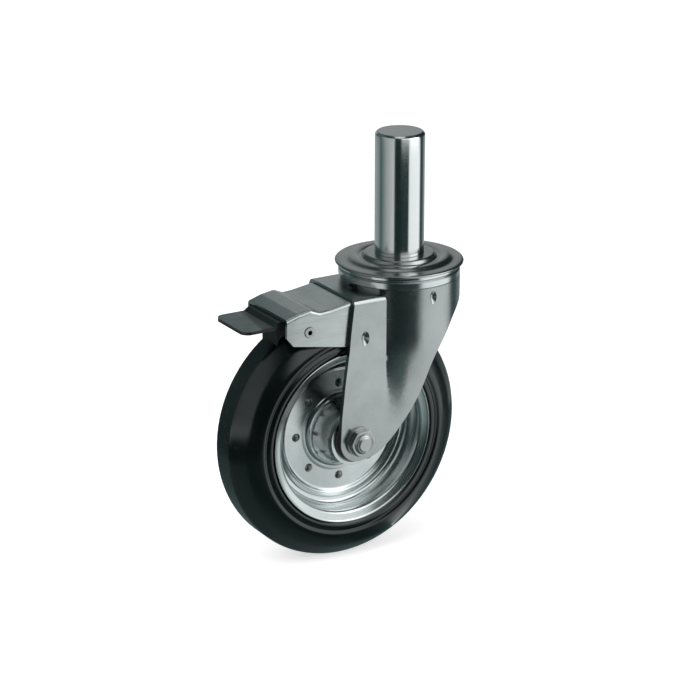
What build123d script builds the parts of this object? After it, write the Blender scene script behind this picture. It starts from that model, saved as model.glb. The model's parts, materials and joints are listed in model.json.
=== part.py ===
from build123d import *
from math import cos, radians, sin, sqrt
import os

os.makedirs("parts", exist_ok=True)

# Sizes in millimetres. The origin is on the boss that the stem stands on, +Z runs up
# the stem, and -X is the trailing side, where the wheel and the pedal are.
stem_r = 19.0
stem_h = 95.0
stem_chamfer = 1.8
pin_r = 8.0
pin_end = -41.0
sunk = 0.6
slip = 0.05

cup_r = 46.8
cover_r = cup_r + 2.7
cover_top = -4.8
cover_foot = -10.0
boss_r = 25.5
race_seat = -5.0
race_foot = -8.2
ball_r = 3.5
ball_pitch = cup_r - 13.8
ball_z = -10.4
ball_count = 12
lower_ball_r = 2.5
lower_pitch = 21.0
lower_z = -23.0
lower_count = 12
groove_gap = 0.05

teeth = 24
gap_half = 3.1
lock_out = cup_r - 3.0
lock_in = lock_out - 6.2
lock_mid = (lock_in + lock_out) / 2
lock_top = -7.3
lock_web = -8.9
lock_foot = -12.2

cup_lip = 2.2
cup_top = -10.6
cup_floor = -12.8
deck_top = -16.8
sheet = 4.0
leg_top = -20.8
leg_out = 34.0
leg_in = leg_out - sheet
neck_r = cup_r - 6.8
crease_x = -sqrt(cup_r ** 2 - leg_out ** 2)
front_x = sqrt((cup_r - sheet) ** 2 - leg_in ** 2)
spacer_r = 13.0
hub_hole = 15.0
race_top = -24.5
race_low = -28.5
washer_low = -30.5
nut_low = -38.5

wheel_r = 100.0
wheel_top = -33.8
axle_x = -55.7
axle_z = wheel_top - wheel_r
foot_r = 16.2
bulge_foot = 0.538 * axle_z
taper_foot = axle_z + 7.8
clear = 60.0
punch_deep = 3.0
tyre_half = leg_in - 4.1
rim_t = 3.0
rim_seat = wheel_r - 37.2
cone_foot = 28.4
bead_in = cone_foot + 0.61628 * (rim_seat - cone_foot)
rivet_pitch = (cone_foot + bead_in) / 2 - 1.0
hub_r = 18.1
hub_bore = 14.6
hub_half = leg_in - 2.0
roller_r = 2.45
roller_pitch = 12.05
roller_count = 10
sleeve_r = 9.55
axle_r = 6.0
axle_hole = 6.2

house_y = leg_in
house_t = 2.5
pivot_x = -96.8
pivot_z = -40.3
lock_turn = 6.0
lever_t = 3.0
lever_top = -30.6
lever_y = leg_in - 2.8
flange_t = 2.5
tongue_y = leg_in - 7.0
eyelet_r = 3.0
shoe_gap = 0.35
shoe_y = 11.0
latch_t = 2.0
latch_y = 6.0
tip_y = 2.5
hook = (-84.6, -47.0)


def turned(points):
    """Solid of revolution about Z from (radius, height) pairs."""
    return revolve(make_face(Polyline([(r, 0, z) for r, z in points], close=True)), Axis.Z)


def at_axle(shape):
    """Turn a shape made about Z onto the wheel's axle, so that its +Z faces +Y."""
    return Pos(axle_x, 0, axle_z) * Rot(-90, 0, 0) * shape


def tube(outer, inner, low, high):
    """Tube about Z between two heights."""
    return turned([(inner, low), (outer, low), (outer, high), (inner, high)])


def disc(radius, low, high):
    """Cylinder about Z between two heights."""
    return Pos(0, 0, low) * Cylinder(radius, high - low, align=(Align.CENTER, Align.CENTER, Align.MIN))


def box(x0, x1, y, z0, z1):
    """Box that is symmetrical about the middle plane."""
    return Pos((x0 + x1) / 2, 0, (z0 + z1) / 2) * Box(x1 - x0, 2 * y, z1 - z0)


def side(outline, low, high):
    """Extrude a closed outline in the XZ plane from y = low to y = high."""
    return Pos(0, low, 0) * extrude(make_face(outline), amount=high - low, dir=(0, 1, 0))


def loop(points):
    """Closed outline in the XZ plane."""
    return Polyline([(x, 0, z) for x, z in points], close=True)


def strip(points, thick, low, high, bend):
    """Sheet bent along a path of (x, z) points, extruded from y = low to y = high."""
    path = FilletPolyline([(x, z) for x, z in points], radius=bend)
    face = make_face(offset(path, thick, side=Side.LEFT))
    return Pos(0, high, 0) * extrude(Plane.XZ * face, amount=high - low)


def across(x, y, z, radius, length):
    """Cylinder along Y, centred on a point."""
    return Pos(x, y, z) * Rot(90, 0, 0) * Cylinder(radius, length)


def mirrored(shape):
    """The same shape on the other side of the middle plane."""
    return mirror(shape, about=Plane.XZ)


def ring_of(shape, count, first=0.0):
    """Copies of a shape set evenly about Z."""
    return [Rot(0, 0, first + 360 / count * i) * shape for i in range(count)]


def hexagon(across_flats, low, high):
    """Hexagon bar about Z with its corners bevelled at both ends."""
    bar = extrude(RegularPolygon(across_flats / 2, 6, major_radius=False), amount=high - low)
    corner = across_flats / sqrt(3)
    flat = across_flats / 2
    cap = (corner - flat) * 0.7
    bevel = turned([(0, 0), (flat, 0), (corner, cap), (corner, high - low - cap), (flat, high - low),
                    (0, high - low)])
    return Pos(0, 0, low) * (bar & bevel)


def wire_along(points, radius):
    """Round wire along a path of points with rounded corners and a round start."""
    path = Polyline(points)
    start = Plane(origin=path @ 0, z_dir=path % 0)
    run = sweep(start * Circle(radius), path=path, transition=Transition.ROUND)
    return run + Pos(*points[0]) * Sphere(radius)


def save(name, shapes):
    """Write one node, a single solid or a group of separate ones."""
    shapes = shapes if isinstance(shapes, list) else [shapes]
    solids = [s for shape in shapes for s in shape.solids()]
    whole = solids[0] if len(solids) == 1 else Compound(children=solids)
    export_step(whole, f"parts/{name}.step")


# Stem and kingpin, turned from one bar, with a cone at the stem's foot
stem = turned([(0, pin_end), (pin_r - 1.2, pin_end), (pin_r, pin_end + 1.2), (pin_r, -sunk),
               (stem_r - sunk, -sunk), (stem_r, 0), (stem_r, stem_h - stem_chamfer), (stem_r - stem_chamfer, stem_h),
               (0, stem_h)])
save("stem", stem)

# Pressed head cover: boss with a coned seat for the stem, shadow groove, low shoulder and a rounded rim
cover = turned([(pin_r + slip, -sunk), (stem_r - sunk + slip, -sunk), (stem_r + slip, 0), (boss_r, 0),
                (boss_r + 2, -0.7), (boss_r + 3.6, -2.7), (boss_r + 6, -3.0), (boss_r + 7.4, -2.2),
                (cover_r - 10.5, -3.0), (cover_r - 8.5, cover_top + 0.2), (cover_r - 2.4, cover_top),
                (cover_r - 0.7, cover_top - 0.8), (cover_r, cover_top - 2.4),
                (cover_r, cover_foot + 1.8), (cover_r - 0.9, cover_foot + 0.2), (cover_r - 1.8, cover_foot),
                (lock_out + 0.6, cover_foot), (lock_out + 0.6, lock_top), (lock_in - 0.4, lock_top),
                (lock_in - 0.8, race_seat), (spacer_r + 2, race_seat), (spacer_r + 1, -3),
                (pin_r + slip, -3)])
save("head_cover", cover)

groove = Pos(0, 0, ball_z) * Torus(ball_pitch, ball_r + groove_gap)
lower_groove = Pos(0, 0, lower_z) * Torus(lower_pitch, lower_ball_r + groove_gap)
save("upper_race", tube(ball_pitch + 3.5, ball_pitch - 6, race_foot, race_seat) - groove)

# Toothed ring that the brake's latch drops into: one tooth and one gap every 15 degrees
tooth_gap = box(lock_in - 1, lock_out + 1, gap_half, lock_foot - 1, lock_web)
lock_ring = tube(lock_out, lock_in, lock_foot, lock_top)
for cut in ring_of(tooth_gap, teeth):
    lock_ring -= cut
save("lock_ring", lock_ring)

save("head_spacer", tube(spacer_r, pin_r + slip, race_top, -3))
save("lower_race", tube(lower_pitch + 6, pin_r + slip, race_low, race_top) - lower_groove)
save("kingpin_washer", tube(15.0, pin_r + 0.3, washer_low, race_low))
save("kingpin_nut", hexagon(24.0, nut_low, washer_low) - disc(pin_r + slip, nut_low - 1, washer_low + 1))

# Ball races
main_ball = Pos(ball_pitch, 0, ball_z) * Sphere(ball_r)
small_ball = Pos(lower_pitch, 0, lower_z) * Sphere(lower_ball_r)
save("main_balls", ring_of(main_ball, ball_count))
save("lower_balls", ring_of(small_ball, lower_count))
cage = tube(ball_pitch + 4.2, ball_pitch - 4.2, ball_z - 0.6, ball_z + 0.6)
for pocket in ring_of(Pos(ball_pitch, 0, ball_z) * Cylinder(ball_r + 0.1, 6), ball_count):
    cage -= pocket
save("ball_cage", cage)

# Bearing cup on the fork's crown
latch_slot = box(-lock_out - 0.4, -lock_in + 1.2, gap_half + 0.2, leg_top - sheet - 1, cup_floor + 1)
cup = turned([(hub_hole + 3, deck_top), (cup_r - 0.7, deck_top), (cup_r, deck_top + 0.7),
              (cup_r, cup_top - 1.2), (cup_r - 1.2, cup_top), (cup_r - cup_lip, cup_top),
              (cup_r - cup_lip, cup_floor), (hub_hole + 3, cup_floor)])
save("bearing_cup", cup - groove - latch_slot)


def lens(depth, half, wall_y, z):
    """Flat segment between the leg's plane and an arc that stands out from it by depth."""
    arc = ThreePointArc((-half, -wall_y, z), (0, -wall_y - depth, z), (half, -wall_y, z))
    return make_face(arc + Line((half, -wall_y, z), (-half, -wall_y, z)))


def bulge(radius, wall_y):
    """Tapered swelling that carries the round crown down into the flat leg."""
    half = sqrt(radius ** 2 - wall_y ** 2)
    full = lens(radius - wall_y, half, wall_y, bulge_foot)
    spent = lens(0.2, half, wall_y, taper_foot)
    return loft([full, spent], ruled=True)


# Fork, one pressing: round crown, deck, flat legs that swell out to meet the crown
shell = disc(cup_r, bulge_foot, deck_top)
shell &= box(crease_x, cup_r + 1, cup_r + 1, bulge_foot, deck_top)
legs = box(axle_x - foot_r - 8, 20, leg_out, axle_z - foot_r - 8, leg_top)
legs = fillet(legs.edges().filter_by(Axis.X).group_by(Axis.Z)[-1], 4.5)
skin = shell + legs + disc(neck_r, leg_top, deck_top)
hollow = disc(cup_r - sheet, bulge_foot, deck_top - sheet)
hollow &= box(crease_x + sheet, cup_r, cup_r, bulge_foot, deck_top - sheet)
hollow += box(axle_x - clear, front_x, leg_in, axle_z - clear, leg_top - sheet)
hollow += disc(neck_r - sheet, leg_top - sheet, deck_top - sheet)
for part in (bulge(cup_r, leg_out), mirrored(bulge(cup_r, leg_out))):
    skin += part
for part in (bulge(cup_r - sheet, leg_in), mirrored(bulge(cup_r - sheet, leg_in))):
    hollow += part
trail = [(-59.8, 5), (-59.8, leg_top - 1), (-63, 0.35 * axle_z), (-64.2, 0.448 * axle_z),
         (-68, 0.65 * axle_z), (-71, 0.852 * axle_z), (axle_x - foot_r, axle_z)]
lead = [(-39, axle_z - 12.2), (-29, axle_z - 4.8), (-18, axle_z + 6.8), (-9.5, 0.852 * axle_z),
        (-2.5, 0.7175 * axle_z), (4, 0.553 * axle_z), (10, 0.471 * axle_z), (17, 0.396 * axle_z),
        (24, -44.2), (32, -37.8), (cup_r - 6.6, -33), (cup_r + 5.2, -28.5)]
turn_pt = (axle_x - foot_r * cos(radians(50)), axle_z - foot_r * sin(radians(50)))
low_pt = (axle_x + foot_r * cos(radians(75)), axle_z - foot_r * sin(radians(75)))


def up(points):
    """Points of the XZ plane as space points."""
    return [(x, 0, z) for x, z in points]


outline = Polyline(up(trail)) + ThreePointArc(*up([trail[-1], turn_pt, low_pt]))
outline += Spline(up([low_pt] + lead)) + Polyline(up([lead[-1], (lead[-1][0], 5), trail[0]]))
fork = (skin - hollow) & side(outline, -clear, clear)
fork -= disc(hub_hole, leg_top - 1, 0)
fork -= lower_groove
fork -= latch_slot
fork -= across(axle_x, 0, axle_z, axle_hole, 3 * leg_out)
punch = loft([Ellipse(0.8, 1.3), Pos(0, 0, punch_deep) * Ellipse(3.6, 5.8)], ruled=True)
leg_mark = Pos(axle_x + 5.1, punch_deep - 0.1 - leg_out, leg_top - 31.1) * Rot(90, 0, 0) * punch
fork -= leg_mark
fork -= mirrored(leg_mark)
fork -= Pos(1.4, punch_deep - 0.4 - cup_r, leg_top - 3.6) * Rot(90, 0, 0) * punch
save("fork", fork)

# Brake housing: channel with a low ridge across its top, pushed up between the legs
ridge = [(-115.9, -27.8), (-106, -24.8), (-95, -23.0), (-87, -26.2), (-79, -25.7), (-60.6, -22.9)]
cheek = [(-60.6, -26.0), (-42, -26.0), (-42, -54), (-64.8, -57.3), (-110.7, -49.1), (-116.3, -42.2)]
roof = FilletPolyline(up(ridge), radius=5)
rest = Polyline(up([ridge[-1]] + cheek + [ridge[0]]))
block = side(roof + rest, -house_y, house_y)
back_end = (ridge[0][0] - 4.1, ridge[0][1] - 1.3)
front_end = (ridge[-1][0] + 30.6, ridge[-1][1] + 4.7)
inner_ridge = [(x, z - house_t) for x, z in [back_end] + ridge[1:-1] + [front_end]]
inner_roof = FilletPolyline(up(inner_ridge), radius=5)
inner_rest = Polyline(up([inner_ridge[-1], (front_end[0], -clear - 10), (back_end[0] - 10, -clear - 10),
                          inner_ridge[0]]))
room = side(inner_roof + inner_rest, -house_y + house_t, house_y - house_t)


def on_roof_bend(edge):
    """Whether an edge is one of the two long bends of the roof."""
    middle = edge.center()
    return abs(abs(middle.Y) - house_y) < 0.01 and middle.Z > -28 and middle.X < -60.7


block = fillet([edge for edge in block.edges() if on_roof_bend(edge)], 3.0)
housing = block - room - across(pivot_x, 0, pivot_z, eyelet_r + slip, 80)
housing -= across(hook[0], house_y, hook[1], 0.8, 8)
save("brake_housing", housing)

# Tubular rivets that the pedal turns on, one in each cheek
eyelet = turned([(1.9, -1.0), (3.9, -1.0), (4.3, -0.5), (4.0, 0), (eyelet_r, 0), (eyelet_r, 10.6),
                 (3.7, 11.0), (3.5, 11.6), (1.9, 11.4)])
near_eyelet = Pos(pivot_x, -house_y, pivot_z) * Rot(-90, 0, 0) * eyelet
save("pivot_rivets", [near_eyelet, mirrored(near_eyelet)])

# Pedal lever: flat tread, a short step up, a web under the roof and two hanging ears
lever_low = lever_top - lever_t
tread_low = lever_low - 2.9
step = [(-148.5, tread_low), (-122.5, tread_low), (-118.4, lever_low), (-82, lever_low)]
tread = strip(step, lever_t, -tongue_y, tongue_y, 2.0)
tread = fillet(tread.edges().filter_by(Axis.Z).group_by(Axis.X)[0], 7)
web = box(-113, -84, lever_y, lever_low, lever_top)
ear = loop([(-111, lever_top), (-86, lever_top), (-88.5, -36), (pivot_x + 6.4, pivot_z - 2),
            (pivot_x + 4, pivot_z - 5.6), (pivot_x - 4, pivot_z - 5.6), (pivot_x - 7, pivot_z - 2),
            (-109.5, -35)])
ears = side(ear, -lever_y, -lever_y + flange_t)
lever = tread + web + ears + mirrored(ears)


def on_ear_bend(edge):
    """Whether an edge is one of the two bends between the web and the ears."""
    middle = edge.center()
    return abs(abs(middle.Y) - lever_y) < 0.01 and abs(middle.Z - lever_top) < 0.01


lever = fillet([edge for edge in lever.edges().filter_by(Axis.X) if on_ear_bend(edge)], 2.0)
lever -= across(pivot_x, 0, pivot_z, eyelet_r + slip, 80)


def drop(shape):
    """Turn a shape from the locked place back to the released place about the pivot."""
    return Pos(pivot_x, 0, pivot_z) * Rot(0, lock_turn, 0) * Pos(-pivot_x, 0, -pivot_z) * shape


def flush_pin(x, foot_z, foot_r):
    """Flush-headed pin down through the web, with a wider foot where it is riveted over."""
    shank = 2.0
    foot = [(0, foot_z), (shank, foot_z)]
    if foot_r > shank:
        foot = [(0, foot_z - 1.3), (foot_r - 1.0, foot_z - 1.3), (foot_r, foot_z - 0.5),
                (foot_r, foot_z), (shank, foot_z)]
    return Pos(x, 0, 0) * turned(foot + [(shank, lever_top - 1.2), (3.2, lever_top), (0, lever_top)])


latch_low = lever_low - latch_t
shoe_pins = [flush_pin(x, lever_low - 6, 0) for x in (pivot_x - 15.7, pivot_x - 8.2)]
latch_pins = [flush_pin(x, latch_low, 3.4) for x in (pivot_x + 2.8, pivot_x + 10.8)]
for pin in shoe_pins + latch_pins:
    lever -= pin
save("pedal_lever", lever)
save("shoe_screws", shoe_pins)
save("latch_rivets", latch_pins)

# Brake shoe: its face lies round the tyre when the pedal is down
face = drop(across(axle_x, 0, axle_z, wheel_r + shoe_gap, 60))
shoe_outline = loop([(-117.5, lever_low), (-101.5, lever_low), (-101.5, -52), (-116, -66), (-121.6, -56),
                     (-121.6, -41)])
shoe = side(shoe_outline, -shoe_y, shoe_y)
shoe -= face
for pin in shoe_pins:
    shoe -= pin
save("brake_shoe", shoe)

# Latch: spring-steel strip over the wheel with an upturned tip for the toothed ring
arm_line = [(-98, latch_low), (-81, latch_low), (-68, -32.4), (-50, -32.6), (-lock_mid + 0.3, -33.0)]
arm = strip(arm_line, latch_t, -latch_y, latch_y, 3.0)
tip_root = -lock_mid + 0.3
tip_outline = loop([(tip_root - 2.2, -33.0), (tip_root, -33.0), (tip_root + 2.4, -15.5), (tip_root, -15.5)])
tip = side(tip_outline, -tip_y, tip_y)
tip = fillet(tip.edges().filter_by(Axis.Y).group_by(Axis.Z)[-1], 0.6)
latch = arm + tip
for pin in latch_pins:
    latch -= pin
save("latch", latch)

# Return spring round the far rivet, one leg under the web and one hooked in the cheek
wire = 0.6
coil_r = 4.4
coil_y = 3.2 - lever_y
turns = 3.5
pitch = 1.3
helix = Helix(pitch=pitch, height=pitch * turns, radius=coil_r)
coil = sweep(Plane(origin=helix @ 0, z_dir=helix % 0) * Circle(wire), path=helix, is_frenet=True)
spring = Pos(pivot_x, coil_y, pivot_z) * Rot(-90, 0, 0) * Rot(0, 0, 180) * coil
coil_end = coil_y + pitch * turns
leg_points = [(pivot_x - coil_r, coil_y, pivot_z), (pivot_x - 11.5, coil_y, lever_low - wire)]
hook_points = [(pivot_x + coil_r, coil_end, pivot_z), (hook[0], coil_end, hook[1]),
               (hook[0], -house_y + 0.6, hook[1])]
spring += wire_along(leg_points, wire)
spring += wire_along(hook_points, wire)
save("return_spring", mirrored(spring))

# Wheel: two dished steel discs riveted back to back, with a solid rubber tyre
dish = [(hub_r, hub_half), (hub_r, hub_half - 5.5), (cone_foot - 4.4, 5.0), (cone_foot, 0), (bead_in, 0),
        (bead_in + 2.2, 2.8), (bead_in + 6.2, 1.3), (rim_seat, 5.2), (rim_seat + 1.8, tyre_half - 6.7),
        (rim_seat + 4.0, tyre_half - 3.7), (rim_seat + 7.5, tyre_half - 2.7)]
section = Plane.XZ * make_face(offset(FilletPolyline(dish, radius=1.2), rim_t, side=Side.LEFT))
rim = revolve(section, Axis.Z)
rivet = turned([(0, -4.8), (1.5, -4.6), (2.7, -4.0), (3.4, -rim_t), (2.4, -rim_t), (2.4, rim_t),
                (3.4, rim_t), (2.7, 4.0), (1.5, 4.6), (0, 4.8)])
rivets = ring_of(Pos(rivet_pitch, 0, 0) * rivet, 8)
for hole in ring_of(Pos(rivet_pitch, 0, 0) * Cylinder(2.4, 20), 8):
    rim -= hole
rim_far = at_axle(rim)
rim_near = mirrored(rim_far)
save("rim_far", rim_far)
save("rim_near", rim_near)
save("rim_rivets", [at_axle(r) for r in rivets])

tread_half = [(wheel_r, 9.2), (wheel_r - 0.5, 10.3), (wheel_r - 1.8, 11.7), (wheel_r - 9.2, tyre_half - 6.6),
              (wheel_r - 17.6, tyre_half - 0.9), (wheel_r - 19.2, tyre_half - 0.1),
              (wheel_r - 21.0, tyre_half), (wheel_r - 22.6, tyre_half - 0.9),
              (wheel_r - 24.8, tyre_half - 1.0), (wheel_r - 26.2, tyre_half - 0.2),
              (wheel_r - 28.1, tyre_half - 0.2), (wheel_r - 29.1, tyre_half - 1.3),
              (wheel_r - 30.2, tyre_half - 1.3), (wheel_r - 33.8, tyre_half - 2.3),
              (wheel_r - 36.8, tyre_half - 6.3), (rim_seat - 1.2, 6.4), (rim_seat - 4.8, 3.6)]
tyre = at_axle(turned(tread_half + [(r, -y) for r, y in reversed(tread_half)]))
tyre = tyre - rim_far - rim_near
save("tyre", tyre)

# Hub: tube, needle bearing, sleeve, seals and the axle bolt
save("hub_tube", at_axle(tube(hub_r, hub_bore, -hub_half, hub_half)))
roller_half = hub_half - 6.0
roller = Pos(roller_pitch, 0, 0) * Cylinder(roller_r, 2 * roller_half)
save("hub_rollers", [at_axle(r) for r in ring_of(roller, roller_count)])
hub_cage = tube(roller_pitch + 1.45, roller_pitch - 1.45, 2.6 - hub_half, hub_half - 2.6)
for pocket in ring_of(Pos(roller_pitch, 0, 0) * Cylinder(roller_r + slip, 2 * roller_half + 0.4), roller_count):
    hub_cage -= pocket
save("roller_cage", at_axle(hub_cage))
seal = at_axle(turned([(sleeve_r + 0.15, hub_half - 2.0), (hub_bore, hub_half - 2.0), (hub_bore, hub_half),
                       (hub_r - 0.5, hub_half), (hub_r - 0.5, hub_half + 1.2),
                       (sleeve_r + 0.15, hub_half + 1.2)]))
save("hub_seals", [seal, mirrored(seal)])
save("axle_sleeve", at_axle(tube(sleeve_r, axle_hole, -leg_in, leg_in)))
washer = at_axle(tube(11.6, axle_r + 0.3, leg_out, leg_out + 2))
save("axle_washers", [washer, mirrored(washer)])
bolt = hexagon(19.0, leg_out + 2, leg_out + 9.5) + disc(axle_r, -leg_out - 15, leg_out + 3)
bolt = chamfer(bolt.edges().group_by(Axis.Z)[0], 1.0)
save("axle_bolt", at_axle(bolt))
nut_end = -leg_out - 13.8
nut = hexagon(19.0, nut_end + 3.8, -leg_out - 2)
nut += turned([(0, nut_end), (7.2, nut_end), (8.2, nut_end + 1.0), (8.2, nut_end + 4.8), (0, nut_end + 4.8)])
save("axle_nut", at_axle(nut - disc(axle_r + slip, nut_end - 1, 0)))
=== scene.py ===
"""Scaffold castor in a white studio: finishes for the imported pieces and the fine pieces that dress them."""
import json
import math

import bmesh
import bpy
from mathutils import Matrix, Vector


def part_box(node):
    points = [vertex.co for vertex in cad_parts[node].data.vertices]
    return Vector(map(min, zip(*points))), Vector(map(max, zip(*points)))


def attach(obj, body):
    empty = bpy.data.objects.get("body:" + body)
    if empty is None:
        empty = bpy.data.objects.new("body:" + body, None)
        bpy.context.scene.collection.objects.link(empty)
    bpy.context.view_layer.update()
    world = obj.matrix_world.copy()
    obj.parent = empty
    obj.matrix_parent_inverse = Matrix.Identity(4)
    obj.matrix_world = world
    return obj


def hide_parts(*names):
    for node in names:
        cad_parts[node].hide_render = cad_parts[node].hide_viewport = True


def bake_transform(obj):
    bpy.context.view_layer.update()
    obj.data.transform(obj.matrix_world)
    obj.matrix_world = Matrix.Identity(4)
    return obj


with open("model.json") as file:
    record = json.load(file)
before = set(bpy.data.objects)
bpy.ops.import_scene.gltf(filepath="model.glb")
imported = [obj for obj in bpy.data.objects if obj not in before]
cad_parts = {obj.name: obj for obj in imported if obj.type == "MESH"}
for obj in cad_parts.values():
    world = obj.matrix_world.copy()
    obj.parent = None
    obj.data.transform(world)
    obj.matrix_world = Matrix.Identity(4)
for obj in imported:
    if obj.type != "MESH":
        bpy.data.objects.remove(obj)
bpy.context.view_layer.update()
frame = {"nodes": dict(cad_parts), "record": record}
nodes = frame["nodes"]

MM = 0.001

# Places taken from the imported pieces
tyre_low, tyre_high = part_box("tyre")
wheel_centre = (tyre_low + tyre_high) / 2
wheel_radius = (tyre_high.x - tyre_low.x) / 2
floor_height = tyre_low.z


# Camera

VIEW_TURN = math.radians(-30.739)
VIEW_RISE = math.radians(19.113)
VIEW_DISTANCE = 2.0
VIEW_TARGET = Vector((-0.052695, 0, -0.06283))
PHOTO_WIDTH = 680
FOCAL_PIXELS = 2618
SENSOR = 36


def towards(turn, rise):
    """Unit vector towards a place seen at that turn round +Z from the near side, and that rise."""
    return Vector((math.sin(turn) * math.cos(rise), -math.cos(turn) * math.cos(rise), math.sin(rise)))


def add_camera():
    """The photograph's camera."""
    lens = bpy.data.cameras.new("camera")
    lens.sensor_width = SENSOR
    lens.lens = FOCAL_PIXELS * SENSOR / PHOTO_WIDTH
    camera = bpy.data.objects.new("camera", lens)
    bpy.context.scene.collection.objects.link(camera)
    back = towards(VIEW_TURN, VIEW_RISE)
    camera.location = VIEW_TARGET + back * VIEW_DISTANCE
    camera.rotation_euler = back.to_track_quat("Z", "Y").to_euler()
    bpy.context.scene.camera = camera


# Shader graphs

class Value:
    """A number that varies over a surface. Sums on it add Math nodes."""

    def __init__(self, graph, socket):
        self.graph = graph
        self.socket = socket

    def combine(self, operation, first, second):
        return self.graph.maths(operation, first, second)

    def __add__(self, other):
        return self.combine("ADD", self, other)

    def __radd__(self, other):
        return self.combine("ADD", other, self)

    def __sub__(self, other):
        return self.combine("SUBTRACT", self, other)

    def __rsub__(self, other):
        return self.combine("SUBTRACT", other, self)

    def __mul__(self, other):
        return self.combine("MULTIPLY", self, other)

    def __rmul__(self, other):
        return self.combine("MULTIPLY", other, self)

    def __truediv__(self, other):
        return self.combine("DIVIDE", self, other)

    def __neg__(self):
        return self.combine("MULTIPLY", self, -1)


class Graph:
    """The node tree of one material, or of the world."""

    def __init__(self, tree):
        self.tree = tree
        tree.nodes.clear()

    def node(self, kind, settings=None, inputs=None):
        """Adds a node, sets its settings, and sets or links its inputs."""
        made = self.tree.nodes.new("ShaderNode" + kind)
        for name, value in (settings or {}).items():
            if name == "stops":
                self.set_stops(made.color_ramp, value)
            else:
                setattr(made, name, value)
        for name, value in (inputs or {}).items():
            self.feed(made.inputs[name], value)
        return made

    def set_stops(self, ramp, stops):
        """Gives a colour ramp its stops, each a place and a grey or a colour."""
        while len(ramp.elements) < len(stops):
            ramp.elements.new(1)
        for element, (place, tone) in zip(ramp.elements, stops):
            element.position = place
            element.color = (tone, tone, tone, 1) if isinstance(tone, (int, float)) else (*tone, 1)

    def feed(self, socket, value):
        """Links a value to a socket, or sets it there."""
        if isinstance(value, Value):
            value = value.socket
        if isinstance(value, bpy.types.NodeSocket):
            self.tree.links.new(value, socket)
        elif socket.type == "RGBA" and len(value) == 3:
            socket.default_value = (*value, 1)
        else:
            socket.default_value = value

    def value(self, made, output=0):
        return Value(self, made.outputs[output])

    def maths(self, operation, *terms):
        made = self.node("Math", {"operation": operation}, dict(enumerate(terms)))
        return self.value(made)

    def clamp(self, value):
        return self.value(self.node("Clamp", None, {"Value": value, "Min": 0.0, "Max": 1.0}))

    def step(self, value, start, end):
        """0 before start, 1 after end, smooth between."""
        made = self.node("MapRange", {"interpolation_type": "SMOOTHSTEP"},
                         {"Value": value, "From Min": start, "From Max": end})
        return self.value(made)

    def place(self, shift=(0, 0, 0), turn=(0, 0, 0), scale=(1, 1, 1)):
        """A point's place in the row frame, shifted, turned and scaled."""
        coordinates = self.node("TexCoord").outputs["Object"]
        made = self.node("Mapping", {"vector_type": "POINT"},
                         {"Vector": coordinates, "Location": shift, "Rotation": turn, "Scale": scale})
        return made.outputs["Vector"]

    def split(self, vector):
        made = self.node("SeparateXYZ", None, {"Vector": vector})
        return [self.value(made, axis) for axis in range(3)]

    def join(self, x, y, z):
        return self.node("CombineXYZ", None, {"X": x, "Y": y, "Z": z}).outputs["Vector"]

    def noise(self, vector, scale, detail=2.0, roughness=0.5):
        made = self.node("TexNoise", {"noise_dimensions": "3D"},
                         {"Vector": vector, "Scale": scale, "Detail": detail, "Roughness": roughness})
        return self.value(made)

    def mix(self, factor, first, second):
        """Colour between two colours."""
        made = self.node("Mix", {"data_type": "RGBA"}, {"Factor": factor})
        sockets = [s for s in made.inputs if s.type == "RGBA"]
        self.feed(sockets[0], first)
        self.feed(sockets[1], second)
        return [s for s in made.outputs if s.type == "RGBA"][0]

    def bump(self, height, depth):
        """Normal of a surface whose height, from 0 to 1, stands for that depth in metres."""
        made = self.node("Bump", None, {"Height": height, "Distance": depth, "Strength": 1.0})
        return made.outputs["Normal"]


class Finish(Graph):
    """One surface finish: a material with its principled shader."""

    def __init__(self, name):
        self.material = bpy.data.materials.new(name)
        self.material.use_nodes = True
        super().__init__(self.material.node_tree)

    def surface(self, **inputs):
        """Adds the shader and its output. Underscores in a name stand for spaces."""
        named = {name.replace("_", " "): value for name, value in inputs.items()}
        shader = self.node("BsdfPrincipled", None, named)
        self.node("OutputMaterial", None, {"Surface": shader.outputs["BSDF"]})
        return self.material


# Finishes

# Where the pedal's grey worn tread ends and the painted shade of its root starts, how that line slants, and
# the height of the tread's top
TREAD_ROOT = -0.130
TREAD_SLANT = 0.14
TREAD_TOP = -0.0335

# Heights of the stem's end face and of the underside of the cover's brim
STEM_END = 0.095
BRIM_FOOT = -0.0070

ZINC_TINT = (0.97, 1.0, 1.0)

# How deep the finest marks are, on sheet and turned steel, on small steel, and on lacquer and rubber
SHEET_GRAIN = 0.00001
FINE_GRAIN = 0.000008
SKIN_GRAIN = 0.00003


def zinc_plate(name, tone, roughness, scratch_turn=(0, 0, 0), streaks=0.0):
    """Zinc plating on pressed sheet: soft clouds, rolling lines, streaks along them and handling marks."""
    finish = Finish(name)
    cloud = finish.noise(finish.place(), 60, 3)
    fine = finish.noise(finish.place(), 900, 2)
    rolled = finish.noise(finish.place(turn=scratch_turn, scale=(1, 1, 30)), 260, 3)
    marks = finish.step(finish.noise(finish.place(), 210, 5, 0.7), 0.62, 0.72)
    streak = finish.noise(finish.place(turn=scratch_turn, scale=(0.12, 1, 2.4)), 240, 3) - 0.5
    light = [tone * c for c in ZINC_TINT]
    dull = [tone * 0.8 * c for c in ZINC_TINT]
    dullness = finish.clamp(cloud * 0.8 + fine * 0.3 - 0.15 + marks * 0.25 + streak * streaks)
    colour = finish.mix(dullness, light, dull)
    rough = roughness + (cloud - 0.5) * 0.14 + (rolled - 0.5) * 0.08 + marks * 0.06 + streak * streaks * 0.2
    height = rolled * 0.6 + fine * 0.4 - marks * 0.5
    return finish.surface(Base_Color=colour, Metallic=1.0, Roughness=rough,
                          Normal=finish.bump(height, SHEET_GRAIN))


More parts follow.
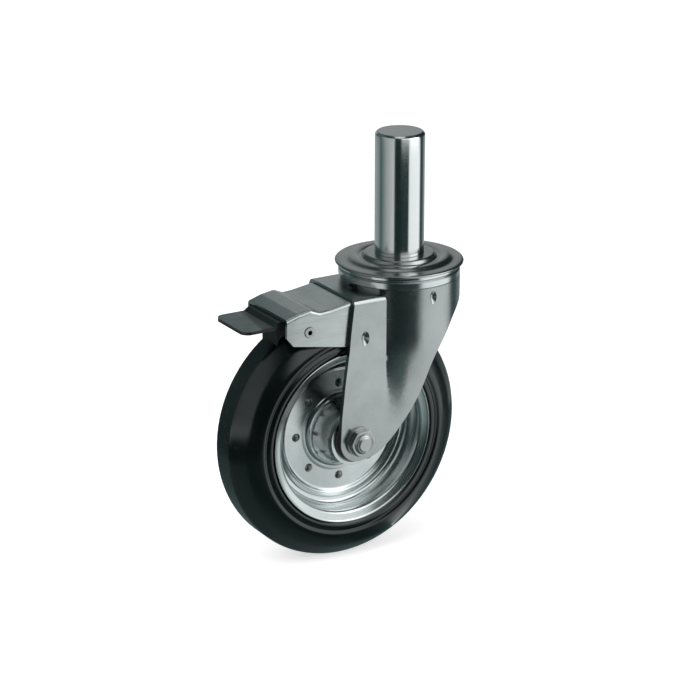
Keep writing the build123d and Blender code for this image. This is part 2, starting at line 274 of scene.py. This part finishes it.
def turned_steel(name, tone, roughness):
    """Bright steel turned on a lathe: fine rings round the stem's axis, and a duller end face."""
    finish = Finish(name)
    x, y, z = finish.split(finish.place())
    rings = finish.noise(finish.join(x * 4, y * 4, z * 900), 4, 3)
    cloud = finish.noise(finish.place(), 40, 2)
    sawn = finish.step(z, STEM_END - 0.0006, STEM_END - 0.0002)
    bright = finish.mix(finish.clamp(rings * 0.5 + cloud * 0.5), [tone * 1.05] * 3, [tone * 0.86] * 3)
    colour = finish.mix(sawn, bright, [tone * 0.5] * 3)
    rough = roughness + (rings - 0.5) * 0.16 + (cloud - 0.5) * 0.08 + sawn * 0.12
    return finish.surface(Base_Color=colour, Metallic=1.0, Roughness=rough,
                          Normal=finish.bump(rings, SHEET_GRAIN))


def small_steel(name, tone, roughness):
    """Plain steel of small parts, with a light grain."""
    finish = Finish(name)
    grain = finish.noise(finish.place(), 700, 3)
    cloud = finish.noise(finish.place(), 150, 2)
    colour = finish.mix(finish.clamp(cloud * 1.2 - 0.1), [tone] * 3, [tone * 0.78] * 3)
    return finish.surface(Base_Color=colour, Metallic=1.0, Roughness=roughness + (grain - 0.5) * 0.1,
                          Normal=finish.bump(grain, FINE_GRAIN))


def cover_steel_painted_highlight(name, tone, painted_highlight_tone, roughness):
    """Dull steel of the head's cover, painted brighter under its brim: a painted highlight that offsets the
    brim's shadow on the band.
    """
    finish = Finish(name)
    z = finish.split(finish.place())[2]
    grain = finish.noise(finish.place(), 500, 3)
    cloud = finish.noise(finish.place(), 70, 3)
    # Under the brim the colour is lighter: painted highlight against the brim's shadow.
    painted_highlight_band = finish.step(-z, -BRIM_FOOT, -BRIM_FOOT + 0.0004)
    dull = finish.mix(finish.clamp(cloud * 1.2 - 0.1), [tone] * 3, [tone * 0.78] * 3)
    colour = finish.mix(painted_highlight_band, dull, [painted_highlight_tone] * 3)
    rough = roughness + (cloud - 0.5) * 0.12 + (grain - 0.5) * 0.06 - painted_highlight_band * 0.08
    return finish.surface(Base_Color=colour, Metallic=1.0, Roughness=rough,
                          Normal=finish.bump(grain, FINE_GRAIN))


def rubber(name):
    """Moulded black rubber: a fine skin with a thin bloom and a few scuffs on the tread."""
    finish = Finish(name)
    skin = finish.noise(finish.place(), 1500, 3)
    bloom = finish.noise(finish.place(), 45, 4)
    x, _, z = finish.split(finish.place(shift=tuple(-wheel_centre)))
    radius = finish.maths("SQRT", x * x + z * z)
    tread = finish.step(radius, wheel_radius - 0.008, wheel_radius - 0.002)
    scuff = tread * finish.step(finish.noise(finish.place(), 160, 5, 0.7), 0.5, 0.65)
    greyness = finish.clamp(bloom * 0.6 + scuff * 0.5 - 0.1)
    colour = finish.mix(greyness, (0.001, 0.003, 0.003), (0.004, 0.007, 0.007))
    rough = 0.18 + (bloom - 0.5) * 0.12 + scuff * 0.12
    return finish.surface(Base_Color=colour, Roughness=rough, Specular_IOR_Level=0.75,
                          Normal=finish.bump(skin, SKIN_GRAIN))


def oiled_brass(name):
    """Pressed brass under a film of oil."""
    finish = Finish(name)
    cloud = finish.noise(finish.place(), 90, 4)
    grain = finish.noise(finish.place(), 1100, 2)
    colour = finish.mix(finish.clamp(cloud * 1.4 - 0.2), (0.55, 0.42, 0.16), (0.42, 0.31, 0.12))
    return finish.surface(Base_Color=colour, Metallic=0.5, Roughness=0.35 + (cloud - 0.5) * 0.2,
                          Normal=finish.bump(grain, SKIN_GRAIN))


def tread_grey_root_painted_shade(name):
    """Pedal painted near black as painted shade for the lever's root in the housing's shadow, grey on the
    tread's top where boots wear it.
    """
    finish = Finish(name)
    x, y, z = finish.split(finish.place())
    cloud = finish.noise(finish.place(), 90, 4)
    grain = finish.noise(finish.place(), 1100, 2)
    root = TREAD_ROOT + y * TREAD_SLANT + (cloud - 0.5) * 0.003
    unshaded_worn_tread = finish.step(root - x, -0.0012, 0.0018) * finish.step(z, TREAD_TOP - 0.0012, TREAD_TOP - 0.0002)
    grey = finish.mix(finish.clamp(cloud * 1.4 - 0.2), (0.115, 0.14, 0.14), (0.075, 0.095, 0.095))
    # Off the tread's top the pedal is near black: painted shade for its root inside the housing.
    colour = finish.mix(unshaded_worn_tread, (0.006, 0.009, 0.009), grey)
    rough = 0.34 + (cloud - 0.5) * 0.2 + unshaded_worn_tread * 0.08
    return finish.surface(Base_Color=colour, Metallic=unshaded_worn_tread * 0.5, Roughness=rough,
                          Normal=finish.bump(grain, SKIN_GRAIN))


def moulded_nylon(name):
    """Dark moulded nylon."""
    finish = Finish(name)
    cloud = finish.noise(finish.place(), 120, 3)
    colour = finish.mix(cloud, (0.05, 0.05, 0.05), (0.03, 0.03, 0.03))
    return finish.surface(Base_Color=colour, Roughness=0.45 + (cloud - 0.5) * 0.1,
                          Normal=finish.bump(finish.noise(finish.place(), 1300, 2), 0.00002))


def iron_in_painted_shade(name):
    """Iron painted near black: painted shade for the shoe, which sits in shadow between the pedal and the
    tyre.
    """
    finish = Finish(name)
    grain = finish.noise(finish.place(), 500, 5, 0.7)
    # Both tones near black: painted shade on the shoe.
    colour = finish.mix(grain, (0.016, 0.018, 0.018), (0.007, 0.008, 0.008))
    return finish.surface(Base_Color=colour, Metallic=0.2, Roughness=0.55, Normal=finish.bump(grain, 0.00015))


finishes = {
    "turned_steel": turned_steel("turned_steel", 0.80, 0.12),
    "dark_steel": cover_steel_painted_highlight("dark_steel", 0.39, 0.72, 0.24),
    "race_steel": small_steel("race_steel", 0.45, 0.25),
    "fastener_zinc": small_steel("fastener_zinc", 0.52, 0.30),
    "zinc_sheet": zinc_plate("zinc_sheet", 0.44, 0.24),
    "zinc_ring": zinc_plate("zinc_ring", 0.74, 0.18),
    "zinc_channel": zinc_plate("zinc_channel", 0.52, 0.24, (math.radians(90), 0, 0), 0.7),
    "ball_steel": small_steel("ball_steel", 0.7, 0.08),
    "cage_brass": oiled_brass("cage_brass"),
    "tyre_rubber": rubber("tyre_rubber"),
    "rim_zinc": zinc_plate("rim_zinc", 0.70, 0.20),
    "rivet_steel": small_steel("rivet_steel", 0.26, 0.34),
    "nylon": moulded_nylon("nylon"),
    "pedal_steel": tread_grey_root_painted_shade("pedal_steel"),
    "cast_shoe": iron_in_painted_shade("cast_shoe"),
    "spring_steel": small_steel("spring_steel", 0.34, 0.28),
}


def finish_packed_pieces():
    """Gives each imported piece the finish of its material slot."""
    for entry in frame["record"]["subparts"]:
        piece = nodes[entry["node"]]
        piece.data.materials.clear()
        piece.data.materials.append(finishes[entry["material_slot"]])


# Turned and pressed pieces, made again with finer edges

# Vertices this close are one, and faces that meet at so small an angle are one flat face
MERGE = 2e-6
FLAT = math.radians(0.4)

# From these angles on, an edge is shaded sharp: one for most pieces, one for the spring's wire
SHARP = math.radians(32)
WIRE_SHARP = math.radians(50)


def clean(piece, body, slot, stands_for, bevel, angle=30):
    """Rounds a finished piece's edges, smooths it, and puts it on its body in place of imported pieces."""
    rounding = piece.modifiers.new("rounding", "BEVEL")
    rounding.width = bevel
    rounding.segments = 3
    rounding.limit_method = "ANGLE"
    rounding.angle_limit = math.radians(angle)
    bpy.ops.object.modifier_apply(modifier=rounding.name)
    bpy.ops.object.shade_smooth_by_angle(angle=SHARP)
    flats = piece.modifiers.new("flats", "WEIGHTED_NORMAL")
    flats.keep_sharp = True
    bpy.ops.object.modifier_apply(modifier=flats.name)
    piece.data.materials.clear()
    piece.data.materials.append(finishes[slot])
    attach(piece, body)
    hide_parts(*stands_for)


def turn_profile(name, profile, segments, closed=False):
    """Turns (radius, height) pairs, in millimetres, about Z: one ring, drawn out step by step."""
    bpy.ops.object.select_all(action="DESELECT")
    radius, height = profile[0]
    bpy.ops.mesh.primitive_circle_add(vertices=segments, radius=radius * MM, location=(0, 0, height * MM),
                                      fill_type="NOTHING")
    piece = bpy.context.object
    piece.name = name
    bpy.ops.object.transform_apply()
    bpy.ops.object.mode_set(mode="EDIT")
    bpy.ops.mesh.select_all(action="SELECT")
    if not closed:
        bpy.ops.mesh.edge_face_add()
    for next_radius, next_height in profile[1:]:
        rise = (0, 0, (next_height - height) * MM)
        bpy.ops.mesh.extrude_region_move(TRANSFORM_OT_translate={"value": rise})
        factor = next_radius / radius
        bpy.ops.transform.resize(value=(factor, factor, 1), center_override=(0, 0, next_height * MM))
        radius, height = next_radius, next_height
    bpy.ops.mesh.select_all(action="SELECT")
    bpy.ops.mesh.remove_doubles(threshold=MERGE)
    bpy.ops.mesh.normals_make_consistent(inside=False)
    bpy.ops.object.mode_set(mode="OBJECT")
    return piece


def onto_axle(piece, flip=False):
    """Turns a piece made about Z onto the axle, its +Z facing the far side, or the near side if flipped."""
    piece.rotation_euler = (math.radians(90 if flip else -90), 0, 0)
    piece.location = wheel_centre
    bpy.ops.object.transform_apply()
    return piece


def fine_copy(node, name):
    """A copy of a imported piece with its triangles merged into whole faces, open in edit mode."""
    bpy.ops.object.select_all(action="DESELECT")
    piece = bpy.data.objects.new(name, nodes[node].data.copy())
    bpy.context.scene.collection.objects.link(piece)
    piece.select_set(True)
    bpy.context.view_layer.objects.active = piece
    bpy.ops.mesh.customdata_custom_splitnormals_clear()
    bpy.ops.object.mode_set(mode="EDIT")
    bpy.ops.mesh.select_all(action="SELECT")
    bpy.ops.mesh.remove_doubles(threshold=MERGE)
    bpy.ops.mesh.dissolve_limited(angle_limit=FLAT)
    return piece


def edge_rounded(node, name, body, slot, bevel, move=None):
    """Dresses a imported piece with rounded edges. Its vertices may be moved a little first."""
    piece = fine_copy(node, name)
    if move:
        mesh = bmesh.from_edit_mesh(piece.data)
        for vertex in mesh.verts:
            move(vertex.co)
        bmesh.update_edit_mesh(piece.data)
    bpy.ops.object.mode_set(mode="OBJECT")
    clean(piece, body, slot, [node], bevel, 28)


# The fork's sizes, and where its swellings start and end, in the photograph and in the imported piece, whose
# own swellings fade to a least share. A vertex belongs to a swelling's wall when it is no further from it
# than the miss, and no further beside it than the margin.
LEG_FACE = 0.034
CROWN_RADIUS = 0.0468
SHEET = 0.004
SWELL_TOP = -0.054
SWELL_FOOT = -0.136
SWELL_SOFT = 0.016
CAD_SWELL_TOP = -0.072
CAD_SWELL_FOOT = -0.126
CAD_SWELL_LEAST = 0.016
SWELL_MISS = 0.0015
SWELL_MARGIN = 0.0005
SWELL_SLICE = 0.0025
LEAST_ROUND = 1e-5


def smooth(value):
    """0 to 1 with level ends."""
    value = min(max(value, 0.0), 1.0)
    return value * value * (3 - 2 * value)


def swell_share(height):
    """How much of the crown's roundness the fork's leg still has at a height."""
    return smooth((height - SWELL_FOOT) / (SWELL_TOP - SWELL_FOOT))


def packed_swell_share(height):
    """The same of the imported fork, whose swellings taper straight."""
    return min(max((height - CAD_SWELL_FOOT) / (CAD_SWELL_TOP - CAD_SWELL_FOOT), CAD_SWELL_LEAST), 1.0)


def reshape_swell(mesh):
    """Eases the straight taper of the fork's swellings into one that starts and ends softly."""
    half = math.sqrt(CROWN_RADIUS ** 2 - LEG_FACE ** 2)
    for vertex in mesh.verts:
        x, y, z = vertex.co
        if z > SWELL_TOP or z < SWELL_FOOT or abs(x) > half + SWELL_MARGIN:
            continue
        walls = []
        for radius, wall in ((CROWN_RADIUS, LEG_FACE), (CROWN_RADIUS - SHEET, LEG_FACE - SHEET)):
            round_part = max(math.sqrt(max(radius ** 2 - x ** 2, 0)) - wall, 0)
            walls.append((abs(abs(y) - wall - round_part * packed_swell_share(z)), wall, round_part))
        miss, wall, round_part = min(walls)
        if miss > SWELL_MISS or abs(y) < wall + LEAST_ROUND:
            continue
        share = swell_share(z)
        edge = smooth((half - abs(x)) / SWELL_SOFT) ** (1 - share)
        vertex.co.y = math.copysign(wall + round_part * share * edge, y)


def make_fork():
    """The pressed fork: its swellings cut into slices and eased, then its edges rounded."""
    fork = fine_copy("fork", "fork_pressing")
    height = SWELL_TOP
    while height > SWELL_FOOT:
        bpy.ops.mesh.select_all(action="SELECT")
        bpy.ops.mesh.bisect(plane_co=(0, 0, height), plane_no=(0, 0, 1))
        height -= SWELL_SLICE
    bpy.ops.mesh.select_all(action="DESELECT")
    mesh = bmesh.from_edit_mesh(fork.data)
    reshape_swell(mesh)
    bmesh.update_edit_mesh(fork.data)
    bpy.ops.object.mode_set(mode="OBJECT")
    clean(fork, "fork_frame", "zinc_sheet", ["fork"], 0.0005, 32)


# Where the nut sits on its washer, where its collar starts, and how far both are drawn in
NUT_SEAT = -0.036
NUT_COLLAR = -0.0445
NUT_SQUEEZE = 0.6
COLLAR_SQUEEZE = 0.9


def shorten_nut(place):
    """Draws the nut in along the axle, and its collar in towards the bolt."""
    if place.y < NUT_COLLAR:
        for axis in ("x", "z"):
            centre = getattr(wheel_centre, axis)
            setattr(place, axis, centre + (getattr(place, axis) - centre) * COLLAR_SQUEEZE)
    place.y = NUT_SEAT + (place.y - NUT_SEAT) * NUT_SQUEEZE


def shorten_bolt(place):
    """Draws the bolt's threaded end in by as much."""
    if place.y < NUT_SEAT:
        place.y = NUT_SEAT + (place.y - NUT_SEAT) * NUT_SQUEEZE


# Where the shoe's drawn-in end starts and how far it is drawn in
SHOE_BACK = -0.112
SHOE_SQUEEZE = 0.25


def trim_shoe(place):
    """Draws in the end of the shoe that faces the tread."""
    if place.x < SHOE_BACK:
        place.x = SHOE_BACK + (place.x - SHOE_BACK) * SHOE_SQUEEZE


def make_spring():
    """The pedal's return spring: its free leg stays under the web, and its hook in the housing's cheek."""
    spring = fine_copy("return_spring", "spring_wire")
    bpy.ops.object.mode_set(mode="OBJECT")
    bpy.ops.object.shade_smooth_by_angle(angle=WIRE_SHARP)
    spring.data.materials.clear()
    spring.data.materials.append(finishes["spring_steel"])
    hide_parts("return_spring")
    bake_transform(spring)


def make_edge_rounded_pieces():
    edge_rounded("brake_housing", "housing_pressing", "fork_frame", "zinc_channel", 0.0004)
    edge_rounded("pedal_lever", "lever_pressing", "pedal", "pedal_steel", 0.0004)
    edge_rounded("axle_nut", "nut_forging", "fork_frame", "fastener_zinc", 0.0003, shorten_nut)
    edge_rounded("axle_bolt", "axle_bar", "fork_frame", "fastener_zinc", 0.0002, shorten_bolt)
    edge_rounded("axle_washers", "washer_stampings", "fork_frame", "fastener_zinc", 0.0003)
    edge_rounded("brake_shoe", "shoe_casting", "pedal", "cast_shoe", 0.0008, trim_shoe)


# Profiles of turned pieces: (radius, height) pairs in millimetres
STEM_PROFILE = [(6.8, -41.0), (8.0, -39.8), (8.0, -0.6), (18.4, -0.6), (19.0, 0), (19.0, 93.2),
                (17.2, 95.0)]
COVER_PROFILE = [(8.05, -0.6), (18.45, -0.6), (19.05, 0), (25.5, 0), (26.5, -0.3), (27.3, -1.0),
                 (28.2, -2.6), (29.2, -3.4), (30.6, -3.5), (31.8, -2.9), (33.2, -2.1), (35.0, -1.9),
                 (37.4, -2.2), (39.2, -3.2), (40.6, -4.3), (42.4, -4.8), (44.4, -4.7), (47.1, -4.8),
                 (48.6, -5.1), (49.3, -5.7), (49.5, -6.3), (49.3, -6.9), (48.6, -7.2), (47.4, -7.3),
                 (46.8, -7.5), (46.6, -7.9), (46.6, -9.6), (46.3, -10.0), (44.4, -10.0), (44.4, -7.3),
                 (37.2, -7.3), (36.8, -5.0), (15.0, -5.0), (14.0, -3.0), (8.05, -3.0), (8.05, -0.6)]
TYRE_HALF = [(100.0, 0.6), (100.0, 9.0), (99.8, 9.7), (99.2, 10.7), (98.2, 11.9), (94.6, 15.6), (91.6, 18.6),
             (90.2, 19.8), (88.6, 20.9), (85.6, 22.6), (82.8, 24.0), (81.4, 24.6), (80.0, 25.0), (78.6, 25.2),
             (77.6, 25.0), (76.8, 24.3), (75.6, 24.0), (74.6, 24.4), (73.8, 25.0), (72.8, 25.4), (71.4, 25.4),
             (70.4, 25.0), (69.8, 24.2), (68.4, 23.6), (65.0, 21.5), (62.0, 14.0), (60.0, 5.0)]

# The dish's outer face from the hub to the lip, and how thick its sheet is
RIM_FACE = [(21.1, 28.0), (21.1, 23.4), (21.6, 21.5), (24.9, 8.6), (25.9, 5.8), (27.4, 4.4), (29.4, 4.1),
            (30.2, 3.5), (32.6, 3.4), (33.4, 3.0), (47.6, 3.0), (49.0, 3.6), (50.2, 5.0), (51.2, 5.6),
            (52.4, 5.3), (54.0, 4.5), (55.6, 4.4), (57.6, 5.1), (59.2, 6.6), (60.0, 8.6), (60.6, 18.6),
            (61.1, 20.8), (62.2, 22.1), (63.6, 22.8), (67.0, 24.1), (67.7, 24.9), (68.4, 25.2), (68.9, 24.9)]
RIM_SHEET = 2.6


def rim_outline():
    """Closed outline of the dish: its outer face, and its inner face one sheet behind."""
    back = []
    for index, (radius, height) in enumerate(RIM_FACE):
        before = RIM_FACE[max(index - 1, 0)]
        after = RIM_FACE[min(index + 1, len(RIM_FACE) - 1)]
        along = Vector((after[0] - before[0], after[1] - before[1])).normalized()
        back.append((radius + along.y * RIM_SHEET, height - along.x * RIM_SHEET))
    return RIM_FACE + back[::-1] + RIM_FACE[:1]


def make_turned_pieces():
    clean(turn_profile("stem_bar", STEM_PROFILE, 96), "head", "turned_steel", ["stem"], 0.0005)
    cover = turn_profile("cover_pressing", COVER_PROFILE, 160, closed=True)
    clean(cover, "head", "dark_steel", ["head_cover"], 0.0002)
    ring = TYRE_HALF + [(radius, -height) for radius, height in reversed(TYRE_HALF)] + TYRE_HALF[:1]
    tyre = onto_axle(turn_profile("tyre_moulding", ring, 192, closed=True))
    clean(tyre, "wheel", "tyre_rubber", ["tyre"], 0.0002)
    rim_profile = rim_outline()
    for side, flip in (("far", False), ("near", True)):
        rim = onto_axle(turn_profile("rim_dish_" + side, rim_profile, 160, closed=True), flip)
        clean(rim, "wheel", "rim_zinc", ["rim_" + side], 0.0003)


# Studio

# The floor's own glow, the light that soft surfaces get from all round, and how much more polished ones get
FLOOR_GLOW = 0.62
SOFT_WORLD = 0.45
GLOSSY_WORLD = 0.35


def add_floor():
    """White floor that stays white to the camera and keeps the castor's soft shadow."""
    bpy.ops.mesh.primitive_plane_add(size=12, location=(0, 0, floor_height))
    floor = bpy.context.object
    floor.name = "floor"
    graph = Finish("floor_white")
    rays = graph.node("LightPath")
    seen = graph.clamp(graph.value(rays, "Is Camera Ray") + graph.value(rays, "Is Glossy Ray")
                       + graph.value(rays, "Is Transmission Ray"))
    paint = graph.node("BsdfDiffuse", None, {"Color": (0.8, 0.8, 0.8)})
    glow = graph.node("Emission", None, {"Color": (1, 1, 1), "Strength": seen * FLOOR_GLOW})
    both = graph.node("AddShader", None, {0: paint.outputs[0], 1: glow.outputs[0]})
    graph.node("OutputMaterial", None, {"Surface": both.outputs[0]})
    floor.data.materials.append(graph.material)


SCREEN_RADIUS = 0.34
SCREEN_RISE = 0.5

# Bands of the studio's screen from each height up: degrees round from the camera towards its right, and how
# bright each place is. The lowest face the tyre, the next the cup, then the stem, and the highest the bends.
SCREEN_BANDS = [
    (-1.0, [(-180, 0.42), (-158, 0.36), (-136, 0.40), (-108, 0.34), (-100, 0.10), (-58, 0.06), (-46, 0.04),
            (-24, 0.03), (20, 0.04), (34, 0.03), (40, 1.1), (98, 1.2), (107, 0.10), (128, 0.12), (142, 0.34),
            (180, 0.42)]),
    (-0.150, [(-180, 0.42), (-158, 0.40), (-136, 0.40), (-108, 0.34), (-100, 0.12), (-84, 0.12), (-76, 0.45),
              (-66, 0.95), (-28, 0.80), (-22, 0.03), (-8, 0.02), (20, 0.04), (34, 0.03), (40, 1.0), (98, 1.1),
              (107, 0.06), (124, 0.08), (142, 0.34), (180, 0.42)]),
    (-0.108, [(-180, 0.42), (-158, 0.40), (-136, 0.36), (-110, 0.28), (-100, 0.14), (-90, 0.14),
              (-60, 0.40), (-42, 0.50), (-28, 0.60), (-22, 0.03), (-8, 0.02), (20, 0.04), (38, 0.03),
              (44, 1.0), (98, 1.1), (107, 0.06), (124, 0.08), (142, 0.34), (180, 0.42)]),
    (0.01, [(-180, 0.50), (-156, 0.42), (-138, 0.12), (-100, 0.12), (-70, 0.42), (-28, 0.50), (-20, 0.05),
            (2, 0.05), (10, 1.1), (44, 1.3), (54, 2.4), (88, 2.4), (96, 0.03), (154, 0.03), (166, 0.44),
            (180, 0.50)]),
]
BAND_EDGE = 0.006

# The same for the ground that polished surfaces see below them, the ceiling, and the light in its middle
GROUND_BANDS = [(-180, 0.15), (-120, 0.12), (-60, 0.24), (-44, 0.20), (-30, 0.08), (-12, 0.10), (14, 0.20),
                (24, 0.42), (36, 0.80), (60, 1.0), (80, 1.0), (100, 0.40), (120, 0.10), (180, 0.15)]
CEILING_BANDS = [(-180, 0.06), (180, 0.06)]
SKYLIGHT_BANDS = [(-180, 0.80), (180, 0.80)]
SKYLIGHT_RADIUS = 0.15

# The ground lies this far above the floor, and the skylight this far under the ceiling
GROUND_LIFT = 0.0005
SKYLIGHT_DROP = 0.002
SCREEN_SIDES = 128


def band_stops(bands):
    """Ramp stops of one ring of bands. The darker a band is, the greener."""
    return [((angle + 180) / 360, (level * min(0.93, 0.5 + level), level, level)) for angle, level in bands]


def add_screen():
    """A round screen with bright and dark bands, seen by glossy surfaces alone, as a studio's walls are."""
    middle = (SCREEN_RISE + floor_height) / 2
    depth = SCREEN_RISE - floor_height
    bpy.ops.mesh.primitive_cylinder_add(vertices=SCREEN_SIDES, radius=SCREEN_RADIUS, depth=depth,
                                        end_fill_type="NOTHING", location=(0, 0, middle))
    seen_in_gloss("screen", SCREEN_BANDS)
    for name, radius, height, bands in (
            ("ground", SCREEN_RADIUS, floor_height + GROUND_LIFT, GROUND_BANDS),
            ("ceiling", SCREEN_RADIUS, SCREEN_RISE, CEILING_BANDS),
            ("skylight", SKYLIGHT_RADIUS, SCREEN_RISE - SKYLIGHT_DROP, SKYLIGHT_BANDS)):
        bpy.ops.mesh.primitive_circle_add(vertices=SCREEN_SIDES, radius=radius, fill_type="NGON",
                                          location=(0, 0, height))
        seen_in_gloss("screen_" + name, [(-1.0, bands)])


def seen_in_gloss(name, rings):
    """Makes the new part of the studio glow in bands round the castor, for glossy surfaces alone."""
    surface = bpy.context.object
    surface.name = name
    bpy.ops.object.transform_apply()
    graph = Finish(name + "_glow")
    x, y, z = graph.split(graph.place(turn=(0, 0, -VIEW_TURN)))
    around = graph.maths("ARCTAN2", x, -y) / (2 * math.pi) + 0.5
    colour = (0, 0, 0)
    for height, bands in rings:
        ring = graph.node("ValToRGB", {"stops": band_stops(bands)}, {"Fac": around}).outputs["Color"]
        colour = graph.mix(graph.step(z, height - BAND_EDGE, height + BAND_EDGE), colour, ring)
    glow = graph.node("Emission", None, {"Color": colour, "Strength": 1.0})
    graph.node("OutputMaterial", None, {"Surface": glow.outputs[0]})
    surface.data.materials.append(graph.material)
    for ray in ("camera", "diffuse", "shadow", "transmission"):
        setattr(surface, "visible_" + ray, False)


def add_lamp(name, turn, rise, distance, width, height, power):
    """A soft box that looks at the castor from a turn and a rise in degrees. It isn't seen in reflections."""
    lamp = bpy.data.lights.new(name, "AREA")
    lamp.shape = "RECTANGLE"
    lamp.size = width
    lamp.size_y = height
    lamp.energy = power
    holder = bpy.data.objects.new(name, lamp)
    bpy.context.scene.collection.objects.link(holder)
    direction = towards(math.radians(turn), math.radians(rise))
    holder.location = VIEW_TARGET + direction * distance
    holder.rotation_euler = direction.to_track_quat("Z", "Y").to_euler()
    holder.visible_glossy = False


def light_the_studio():
    world = bpy.data.worlds.new("studio")
    bpy.context.scene.world = world
    world.use_nodes = True
    graph = Graph(world.node_tree)
    rays = graph.node("LightPath")
    seen = graph.clamp(graph.value(rays, "Is Camera Ray") + graph.value(rays, "Is Transmission Ray"))
    glossy = graph.value(rays, "Is Glossy Ray")
    strength = SOFT_WORLD + seen * (1 - SOFT_WORLD) + glossy * GLOSSY_WORLD
    light = graph.node("Background", None, {"Color": (1, 1, 1), "Strength": strength})
    graph.node("OutputWorld", None, {"Surface": light.outputs[0]})

    add_lamp("key_box", -75, 45, 1.6, 1.0, 1.0, 9)
    add_lamp("right_box", 45, 20, 1.6, 0.5, 1.6, 6)
    add_lamp("top_box", 20, 80, 1.6, 1.0, 1.0, 5)
    add_screen()


finish_packed_pieces()
make_turned_pieces()
make_fork()
make_edge_rounded_pieces()
make_spring()
add_camera()
add_floor()
light_the_studio()

bpy.context.scene.view_settings.view_transform = "Standard"
